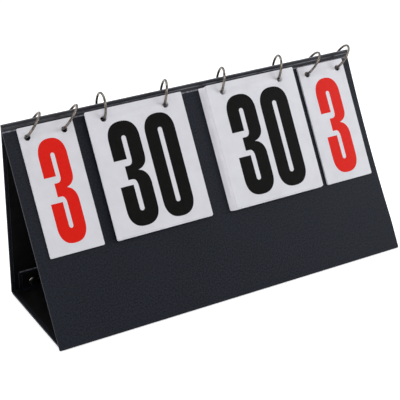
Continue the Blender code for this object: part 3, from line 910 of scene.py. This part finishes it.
@dataclass
class BookRing:
    """A hinged book ring: the bow through the holes, the gate that opens, and the rivet.

    Its stance is its lean and its tilt away in degrees, its slip to the left and its drop.
    """

    number: int
    x: float
    rings_body: str
    stance: tuple
    wire: float = 0.00122
    wire_sides: int = 24
    parts: int = 64
    tongue_reach: float = 0.0011
    tongue_share: float = 0.92
    tongue_gap: float = 0.00012
    tongue_tip: float = 0.0002
    shoulder: float = 0.00175
    eased: float = 0.86
    latch_gap: float = 0.00006

    def half_ring(self, name: str, start: float, end: float, keep: int) -> Mesh:
        """Return half of the ring with a lug at its start and an eased end.

        Args:
            name: the mesh's name.
            start: the angle of the pivot in degrees.
            end: the angle of the latch.
            keep: +1 or -1, the half of the wire in X that the lug keeps.

        Returns:
            The mesh about the ring's centre, in the Y-Z plane.
        """
        way = 1 if end > start else -1
        length = abs(math.radians(end - start)) * RING_RADIUS
        stations = [-self.tongue_reach * math.cos(math.pi * i / 12) for i in range(6)]
        stations += [0.0004, 0.0008, 0.0012, self.shoulder - 0.0001, self.shoulder]
        stations += [self.shoulder + 0.0001]
        stations += [self.shoulder + 0.0004 + (length - self.shoulder - 0.0007) * i / self.parts
                     for i in range(self.parts + 1)]
        stations += [length - 0.0001, length]
        rows = []
        for place in stations:
            lug = place < self.shoulder - 0.00005
            share = self.eased if place == length else 1.0
            tall = self.wire * share
            if place < 0:
                tall = math.sqrt(max(self.tongue_reach ** 2 - place ** 2, 0.0)) * self.tongue_share
                tall = min(max(tall, self.tongue_tip), self.wire)
            turn = math.radians(start) + way * place / RING_RADIUS
            row = []
            for i in range(self.wire_sides):
                around = 2 * math.pi * i / self.wire_sides
                x = self.wire * math.cos(around) * share
                if lug and x * keep < self.tongue_gap / 2:
                    x = keep * self.tongue_gap / 2
                radius = RING_RADIUS + tall * math.sin(around)
                row.append((x, radius * math.cos(turn), radius * math.sin(turn)))
            rows.append(row)
        return Workshop.loft(name, rows, 40.0)

    def rivet(self, shop: Workshop) -> Mesh:
        """Return the rivet with its two low heads, about the ring's centre."""
        head, shank = self.wire + 0.00012, self.wire * 0.72
        profile = [(0.0, head), (0.0004, head - 0.00003), (0.0007, head - 0.00016), (0.00072, shank),
                   (0.0004, shank)]
        profile += [(radius, -z) for radius, z in profile[::-1]]
        mesh = shop.turned("rivet", profile, 20)
        mesh.transform(Matrix.Rotation(math.pi / 2, 4, "Y"))
        turn = math.radians(PIVOT_DEG)
        mesh.transform(Matrix.Translation((0.0, RING_RADIUS * math.cos(turn),
                                           RING_RADIUS * math.sin(turn))))
        return mesh

    def lean(self) -> Matrix:
        """Return how the loose ring leans over in its holes, about the lowest part of its wire."""
        lean_deg, far_deg, slip, drop = self.stance
        far = math.radians(far_deg)
        high = Vector((0.0, -math.sin(far), math.cos(far)))
        hinge = high.cross(Vector((1.0, 0.0, 0.0)))
        low = Matrix.Translation(-RING_RADIUS * high)
        turn = Matrix.Rotation(math.radians(lean_deg), 4, hinge)
        return Matrix.Translation((-slip, 0.0, -drop)) @ low @ turn @ low.inverted()

    def dress(self, shop: Workshop) -> None:
        """Build the bow, the gate and the rivet and let them ride."""
        place = Matrix.Translation(RING_CENTRE + Vector((self.x, 0.0, 0.0)))
        name = f"ring_{self.number}"
        latch = math.degrees(self.latch_gap / RING_RADIUS)
        bow = self.half_ring("bow", PIVOT_DEG, PIVOT_DEG - 180 + latch, 1)
        gate = self.half_ring("gate", PIVOT_DEG, PIVOT_DEG + 180 - latch, -1)
        for part, tail, mesh, body in (("_bow", "_wire", bow, self.rings_body),
                                       ("_gate", "_wire", gate, name + "_gate"),
                                       ("_rivet", "_metal", self.rivet(shop), self.rings_body)):
            mesh.transform(self.lean())
            shop.piece(name + part + tail, mesh, NICKEL, place, body, (name + part,))


class Numerals:
    """Outlines of heavy condensed numerals, in millimetres, with y down from their top left corner."""

    HEIGHT = 105.2
    WIDTH = 33.0
    ZERO_WIDTH = 32.4
    ZERO_START = 39.3
    SQUARENESS = 2.4
    END = 2.4

    @classmethod
    def arch(cls, half: float, cy: float, b: float, lower: bool = False, steps: int = 14) -> list:
        """Return the upper or lower half of a squared ellipse, clockwise on the page.

        Args:
            half: its centre across and its half width.
            cy: centre down.
            b: half height.
            lower: whether it is the half from the right to the left below.
            steps: spans in a quarter.

        Returns:
            The points.
        """
        power = 2 / cls.SQUARENESS
        points = []
        for quarter in (2, 3) if lower else (0, 1):
            for step in range(steps + 1):
                turn = math.pi * (1 + quarter / 2 + step / steps / 2)
                across, down = math.cos(turn), math.sin(turn)
                points.append((half + half * math.copysign(abs(across) ** power, across),
                               cy + b * math.copysign(abs(down) ** power, down)))
        return points

    @staticmethod
    def bezier(p0: tuple, p1: tuple, p2: tuple, p3: tuple, steps: int = 12) -> list:
        """Return points along a cubic curve."""
        points = []
        for step in range(steps + 1):
            t = step / steps
            k = ((1 - t) ** 3, 3 * t * (1 - t) ** 2, 3 * t * t * (1 - t), t ** 3)
            points.append(tuple(sum(w * p[i] for w, p in zip(k, (p0, p1, p2, p3))) for i in (0, 1)))
        return points

    @staticmethod
    def half_turn(cx: float, cy: float, across: float, down: float) -> list:
        """Return a half circle that starts across from its centre and turns the way of its signs."""
        return [(cx + across * math.cos(t), cy + down * math.sin(t))
                for t in [math.pi * i / 10 for i in range(11)]]

    @classmethod
    def zero(cls) -> list:
        """Return the outlines of a nought."""
        half, h = cls.ZERO_WIDTH / 2, cls.HEIGHT
        left, right, top, foot = 13.8, 18.6, 14.4, h - 14.6
        r = (right - left) / 2
        counter = cls.half_turn(left + r, top + r, -r, -r) + cls.half_turn(left + r, foot - r, r, r)
        return [cls.arch(half, 19, 19) + cls.arch(half, h - 19, 19, True), counter]

    @classmethod
    def three(cls) -> list:
        """Return the outline of a three."""
        w, h, end = cls.WIDTH, cls.HEIGHT, cls.END
        points = [(0.0, 37.8)] + cls.arch(w / 2, 19, 19)
        points += cls.bezier((w, 38.0), (w, 45.5), (28.6, 49.2), (22.8, 50.6))
        points += cls.bezier((22.8, 50.6), (29.4, 52.0), (w, 57.5), (w, 66.0))
        points += cls.arch(w / 2, h - 18.4, 18.4, True) + [(0.0, 63.7), (13.8, 63.7)]
        points += cls.half_turn(16.4, h - 17.4, -end, end)
        points += cls.bezier((18.8, 67.0), (18.8, 61.4), (17.4, 58.3), (14.0, 58.3))
        points += [(9.8, 58.3), (9.8, 44.6)]
        points += cls.bezier((13.2, 44.6), (17.2, 44.6), (18.6, 42.2), (18.6, 38.0))
        return [points + cls.half_turn(16.2, 16.8, end, -end) + [(13.8, 37.8)]]


class PackKind(Enum):
    """What a pack counts, with its cards' and holes' shares of the width, sheets, hole rise and print."""

    SETS = (0.14260, 0.09610, 7, 0.0004, 0.858, 0.974, RED_INK)
    POINTS = (0.26675, 0.17143, 29, 0.0011, 0.985, 0.992, BLACK_INK)

    def __init__(self, card_share: float, hole_share: float, count: int, hole_rise: float,
                 print_width: float, print_height: float, ink: Finish):
        """Name the values of the kind.

        Args:
            card_share: a card's share of the board's width.
            hole_share: the share of the board's width that lies between its holes.
            count: how many card pitches the top card lies above the rearmost one.
            hole_rise: how much higher its holes are drawn than the solids have them.
            print_width: scale of its numerals across.
            print_height: scale of its numerals down.
            ink: what they are printed with.
        """
        self.card_share, self.hole_share, self.count = card_share, hole_share, count
        self.hole_rise, self.print_scale, self.ink = hole_rise, (print_width, print_height), ink

    def glyphs(self) -> list:
        """Return the numerals' outlines, each with its place across."""
        glyphs = [(Numerals.three(), 0.0), (Numerals.zero(), Numerals.ZERO_START)]
        return glyphs if self is PackKind.POINTS else glyphs[:1]

    def glyph_width(self) -> float:
        """Return the numerals' width before they are scaled."""
        return Numerals.ZERO_START + Numerals.ZERO_WIDTH if self is PackKind.POINTS else Numerals.WIDTH


@dataclass
class CardPack:
    """A pack of number cards: the top card and its print, the next card, and the loose sheets beneath."""

    name: str
    kind: PackKind
    middle: float
    shift: float = 0.0
    slip: float = 0.0
    tunnel: float = 0.0
    print_shift: float = 0.0
    print_drop: float = 0.0
    lower: float = 0.0
    short: float = 0.0
    narrow: float = 1.0
    seed: int = 1
    width: float = field(init=False)
    top_n: float = field(init=False)
    hole_v: float = field(init=False)
    top_v: float = field(init=False)

    def __post_init__(self):
        """Work out the sizes that follow from the kind of pack."""
        self.width = BOARD_WIDTH * self.kind.card_share * self.narrow
        self.top_n = CARD_REST_GAP + self.kind.count * CARD_PITCH + CARD_SHEET / 2
        high = min(wire_top(n) for n in (CARD_REST_GAP, self.top_n))
        hung_v = high - CARD_HANG_GAP + CARD_HOLE_RADIUS
        self.hole_v = hung_v - self.kind.hole_rise
        self.top_v = hung_v - CARD_MARGIN + SHEET_TOP_DROP + self.lower

    def ring_places(self) -> tuple:
        """Return the x of the pack's two rings."""
        spacing = BOARD_WIDTH * self.kind.hole_share
        return (self.middle - spacing / 2, self.middle + spacing / 2)

    def sheet_outlines(self, shift: float, lower: float, steps: int = 6, hole_points: int = 36,
                       aside: float = 0.0) -> list:
        """Return a sheet's outline and its holes in the slope's axes.

        Args:
            shift: how far the sheet lies along X from its rings.
            lower: how much further down it hangs than the top card.
            steps: points to a corner.
            hole_points: points to a hole.
            aside: how far its holes lie to the left of the rings.

        Returns:
            The outlines as (x, y) points.
        """
        x, top, half = self.middle + shift, -self.top_v - lower, self.width / 2
        length = CARD_HEIGHT - self.lower - self.short
        outlines = [rounded_outline(x - half, x + half, top - length, top, SHEET_CORNER, steps)]
        return outlines + [circle(ring - aside, -self.hole_v - lower, CARD_HOLE_RADIUS, hole_points)
                           for ring in self.ring_places()]

    def dress(self, shop: Workshop) -> None:
        """Build the pack and let it ride."""
        matrix = slope_matrix(Side.FRONT)
        for tail, body, n in (("_top_card", self.name + "_top_card", self.top_n),
                              ("_next_card", "front_panel", self.top_n - CARD_PITCH)):
            mesh = shop.plate(tail, self.sheet_outlines(self.shift, 0.0), CARD_SHEET, n + CARD_SHEET / 2,
                              CUT_EDGE)
            shop.piece(self.name + tail + "_sheet", mesh, CARD_WHITE, matrix, body, (self.name + tail,))
        self.print_number(shop, matrix)
        # The loose sheets take the lighter card, with painted light on their edges.
        shop.piece(self.name + "_loose_sheets", self.sheets(shop), CARD_PAINTED_LIGHT, matrix, "front_panel",
                   (self.name + "_lower_cards",))

    def print_number(self, shop: Workshop, matrix: Matrix) -> None:
        """Print the pack's number on its top card."""
        wide, tall = self.kind.print_scale
        left = self.middle + self.shift + self.print_shift - self.kind.glyph_width() / 2 * wide / 1000
        top = self.top_v + PRINT_DROP + self.print_drop
        for number, (outlines, offset) in enumerate(self.kind.glyphs(), 1):
            placed = [[(left + (x + offset) * wide / 1000, -top - y * tall / 1000) for x, y in outline]
                      for outline in outlines]
            mesh = shop.plate("numeral", placed, INK_FILM, self.top_n + CARD_SHEET / 2 + 1.5 * INK_FILM)
            shop.piece(f"{self.name}_numeral_{number}", mesh, self.kind.ink, matrix,
                       self.name + "_top_card")

    def sheets(self, shop: Workshop) -> Mesh:
        """Return the sheets beneath the next card, each hanging from the wire at its own height."""
        chance = random.Random(self.seed)
        work = bmesh.new()
        shade = work.faces.layers.float.new("sheet_shade")
        count = self.kind.count
        level = wire_top(self.top_n)
        for i in range(count - 1):
            n = CARD_REST_GAP + CARD_SHEET / 2 + i * CARD_PITCH
            lower = wire_top(n) - level
            if self.kind is PackKind.SETS:
                lower = max(lower, 0.0)
            lower = max(0.0, lower + chance.uniform(-SHEET_HANG, SHEET_HANG))
            shift = self.shift - self.slip * (count - i) / count
            shift += chance.uniform(-SHEET_SLIDE, SHEET_SLIDE)
            aside = min(self.tunnel, TUNNEL_SLOPE * (self.top_n - n))
            mesh = shop.plate("sheet", self.sheet_outlines(shift, lower, 3, 20, aside), CARD_SHEET,
                              n + CARD_SHEET / 2)
            start = len(work.faces)
            work.from_mesh(mesh)
            bpy.data.meshes.remove(mesh)
            work.faces.ensure_lookup_table()
            tone = chance.uniform(0.0, SHEET_TONE)
            for face in work.faces[start:]:
                face[shade] = tone
                face.smooth = False
        return shop.mesh_of(work, "sheets")


@dataclass
class Scoreboard:
    """The whole scoreboard, dressed."""

    packs: tuple = (
        CardPack("home_set", PackKind.SETS, -0.39610 * BOARD_WIDTH, shift=0.00085, print_shift=0.0001,
                 short=0.0013, seed=11),
        CardPack("home_score", PackKind.POINTS, -0.16234 * BOARD_WIDTH, shift=0.001, slip=-0.0022,
                 print_shift=0.0003, short=0.0015, seed=12),
        CardPack("guest_score", PackKind.POINTS, 0.17532 * BOARD_WIDTH, shift=0.0001, slip=0.0046,
                 tunnel=0.0019, print_shift=0.0005, short=0.0005, narrow=0.988, seed=13),
        CardPack("guest_set", PackKind.SETS, 0.40390 * BOARD_WIDTH, shift=-0.0009, lower=0.0012,
                 print_shift=0.0004, print_drop=0.0012, seed=14),
    )
    ring_stances: tuple = (
        (42.0, -16.0, 0.0019, 0.0006), (43.0, -16.0, 0.0019, 0.0006),
        (8.2, -9.6, -0.0006, 0.0012), (20.0, -38.0, 0.0018, 0.0010),
        (19.5, -38.0, 0.0020, 0.0010), (19.5, -38.0, 0.0020, 0.0010),
        (43.0, -16.0, 0.0019, 0.0006), (40.0, -16.0, 0.0018, 0.0006),
    )

    def back_hole_v(self) -> float:
        """Return the v of the back panel's ring holes."""
        across, up = -RING_FORWARD, FOLD_DROP - RING_DROP
        reaches = []
        for step in range(31):
            turn = LEAN + step / 30 * (math.pi - 2 * LEAN)
            along = across * math.sin(turn) - up * math.cos(turn)
            reaches.append(along + math.sqrt(along ** 2 - across ** 2 - up ** 2 + RING_RADIUS ** 2))
        return FOLD_DROP * COS + (min(reaches) + max(reaches)) / 2

    def dress(self, shop: Workshop) -> None:
        """Dress every sub-assembly."""
        self.panels(shop)
        stances = iter(enumerate(self.ring_stances, 1))
        for pack in self.packs:
            pack.dress(shop)
            for x in pack.ring_places():
                number, stance = next(stances)
                BookRing(number, x, pack.name + "_rings", stance).dress(shop)
        LOG.info("dressed %d packs and %d rings", len(self.packs), len(self.ring_stances))

    def panels(self, shop: Workshop) -> None:
        """Dress the two panels, the base, the flap, and the studs and strips between them."""
        half = BOARD_WIDTH / 2
        ring_x = [x for pack in self.packs for x in pack.ring_places()]
        flap_n = -PANEL_THICKNESS - FLAP_GAP
        flap_foot = (RIDGE_HEIGHT + (flap_n - FLAP_THICKNESS) * SIN - PANEL_THICKNESS - FLAP_GAP) / COS
        flap_half = half - BASE_INSET - FLAP_INSET
        stud_v, stud_x = flap_foot - STUD_RISE, flap_half - STUD_MARGIN
        studs = (-stud_x, stud_x)
        box = (-half, half, PANEL_TOP, PANEL_FOOT)
        front, back = slope_matrix(Side.FRONT), slope_matrix(Side.BACK)
        front_v, back_v = ring_crossing(-PANEL_THICKNESS / 2), self.back_hole_v()
        front_holes = tuple((x, front_v, PANEL_HOLE_RADIUS) for x in ring_x)
        back_holes = tuple((-x, back_v, PANEL_HOLE_RADIUS) for x in ring_x)
        back_holes += tuple((x, stud_v, STUD_HOLE_RADIUS) for x in studs)
        base_end = (RIDGE_HEIGHT * SIN - PANEL_THICKNESS - PANEL_THICKNESS * SIN) / COS - BASE_GAP
        flap_top = flap_foot - FLAP_HEIGHT
        # The front panel's top and the flap's top take a pale painted highlight band on their vinyl.
        for panel in (
                CoveredPanel("front", "front_panel", front, box, holes=front_holes, bow_in=FRONT_BOW,
                             corner=0.001, upper_corner=0.0004, top_margin=RIDGE_MARGIN,
                             cover_finish=GRAINED_VINYL.worn_at("ridge", -PANEL_TOP - RIDGE_HIGHLIGHT)),
                CoveredPanel("back", "back_panel", back, box, holes=back_holes, corner=0.0012,
                             upper_corner=0.0004, top_margin=RIDGE_MARGIN),
                CoveredPanel("base", "base", Matrix.Rotation(math.pi, 4, "X"),
                             (-half, half, -base_end, base_end), corner=0.0008, taper=BASE_TAPER),
                CoveredPanel("flap", "flap", back, (-flap_half, flap_half, flap_top, flap_foot), flap_n,
                             FLAP_CORE, tuple((x, stud_v, SOCKET_HOLE_RADIUS) for x in studs),
                             cover_edge=0.0003,
                             cover_finish=GRAINED_VINYL.worn_at("flap", -flap_top - FLAP_HIGHLIGHT)),
                PressStuds(stud_x, stud_v, flap_n),
                RidgeStrip(),
                InnerFold("base_hinge_vinyl", Side.FRONT, -PANEL_THICKNESS, half, leg=0.011, skin=0.0004,
                          bend=0.0016, share=0.25, finish=LINING_VINYL, bodies=("front_panel", "base"),
                          stands_for=("base_hinge_strip",)),
                InnerFold("flap_hinge_vinyl", Side.BACK, flap_n - FLAP_THICKNESS, flap_half, leg=0.0055,
                          skin=0.0003, bend=0.0026, share=0.45, finish=STRETCHED_VINYL,
                          bodies=("base", "flap"))):
            panel.dress(shop)


@dataclass
class Studio:
    """The camera, floor, world and lights."""

    azimuth_deg: float = -23.73
    elevation_deg: float = 20.16
    roll_deg: float = -6.24
    distance: float = 1.116
    target: tuple = (0.0025, 0.0, 0.0801)
    lens: float = 95.97
    floor_lift: float = 0.62
    fill_strength: float = 0.3
    boxes: tuple = (
        ("key", (-0.15, -1.3, 1.5), (0.0, 0.0, 0.1), 1.0, 9.6, (1.0, 0.98, 0.96)),
        ("right_fill", (1.45, -1.15, 0.75), (0.05, 0.0, 0.1), 0.8, 14.6, (0.94, 0.97, 1.0)),
        ("top", (0.1, 0.3, 1.8), (0.0, 0.0, 0.0), 1.2, 13.0, (1.0, 1.0, 1.0)),
        ("left_rim", (-1.5, -0.05, 0.45), (-0.15, 0.0, 0.05), 0.5, 6.0, (1.0, 1.0, 1.0)),
    )

    def set_up(self) -> None:
        """Make everything round the object."""
        self.camera()
        self.floor()
        self.world()
        for name, place, aim, side, watts, colour in self.boxes:
            self.soft_box(name, Vector(place), Vector(aim), side, watts, colour)
        bpy.context.scene.view_settings.view_transform = "Standard"

    def camera(self) -> None:
        """Stand the camera where the photograph was taken from."""
        azimuth, elevation = math.radians(self.azimuth_deg), math.radians(self.elevation_deg)
        back = Vector((math.sin(azimuth) * math.cos(elevation), -math.cos(azimuth) * math.cos(elevation),
                       math.sin(elevation)))
        right = Vector((0.0, 0.0, 1.0)).cross(back).normalized()
        up = back.cross(right)
        roll = math.radians(self.roll_deg)
        across = right * math.cos(roll) + up * math.sin(roll)
        above = up * math.cos(roll) - right * math.sin(roll)
        data = bpy.data.cameras.new("camera")
        data.lens = self.lens
        data.sensor_width = 36.0
        data.clip_start = 0.05
        item = Workshop.link("camera", data)
        turn = Matrix((across, above, back)).transposed().to_4x4()
        item.matrix_world = Matrix.Translation(Vector(self.target) + back * self.distance) @ turn
        bpy.context.scene.camera = item

    def floor(self) -> None:
        """Lay a plain pale floor that the camera sees brighter than the object is lit by."""
        work = bmesh.new()
        bmesh.ops.create_grid(work, x_segments=1, y_segments=1, size=4.0)
        mesh = Workshop.mesh_of(work, "floor")
        material = bpy.data.materials.new("studio_floor")
        material.use_nodes = True
        tree = NodeTree(material.node_tree)
        inputs = tree.nodes["Principled BSDF"].inputs
        lift = tree.math("MULTIPLY", self.seen_directly(tree), self.floor_lift)
        for name, value in (("Base Color", (0.9, 0.9, 0.9, 1.0)), ("Roughness", 0.9),
                            ("Emission Color", (1.0, 1.0, 1.0, 1.0)), ("Emission Strength", lift)):
            tree.feed(inputs[name], value)
        mesh.materials.append(material)
        item = Workshop.link("floor", mesh)
        item.location = (0.0, 0.0, -FLOOR_DROP)

    @staticmethod
    def seen_directly(tree: NodeTree) -> NodeSocket:
        """Return one for what the camera sees, itself or in metal and glass, and nought for the light."""
        path = tree.add("ShaderNodeLightPath").outputs
        either = tree.math("MAXIMUM", path["Is Camera Ray"], path["Is Glossy Ray"])
        return tree.math("MAXIMUM", either, path["Is Transmission Ray"])

    def world(self) -> None:
        """Make a white world that the camera sees brighter than the object is lit."""
        world = bpy.data.worlds.new("studio")
        bpy.context.scene.world = world
        world.use_nodes = True
        tree = NodeTree(world.node_tree)
        fill = tree.nodes["Background"]
        tree.feed(fill.inputs["Color"], (0.92, 0.95, 1.0, 1.0))
        tree.feed(fill.inputs["Strength"], self.fill_strength)
        seen = tree.add("ShaderNodeBackground", {"Color": (1.0, 1.0, 1.0, 1.0), "Strength": 1.0})
        mixer = tree.add("ShaderNodeMixShader", {0: self.seen_directly(tree), 1: fill.outputs[0],
                                                 2: seen.outputs[0]})
        tree.feed(tree.nodes["World Output"].inputs["Surface"], mixer.outputs[0])

    @staticmethod
    def soft_box(name: str, place: Vector, aim: Vector, side: float, watts: float,
                 colour: tuple) -> None:
        """Place one square soft box.

        Args:
            name: its name.
            place: where it stands.
            aim: the point that it faces.
            side: the length of its side.
            watts: its power.
            colour: its linear colour.
        """
        data = bpy.data.lights.new(name, "AREA")
        data.size = side
        data.energy = watts
        data.color = colour
        item = Workshop.link(name, data)
        item.location = place
        item.rotation_euler = (aim - place).to_track_quat("-Z", "Y").to_euler()


def main() -> None:
    """Dress the frame and set up the studio."""
    logging.basicConfig(level=logging.INFO)
    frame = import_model()
    LOG.info("dressing %d nodes", len(frame["nodes"]))
    Studio().set_up()
    Scoreboard().dress(Workshop())


if __name__ == "__main__":
    main()
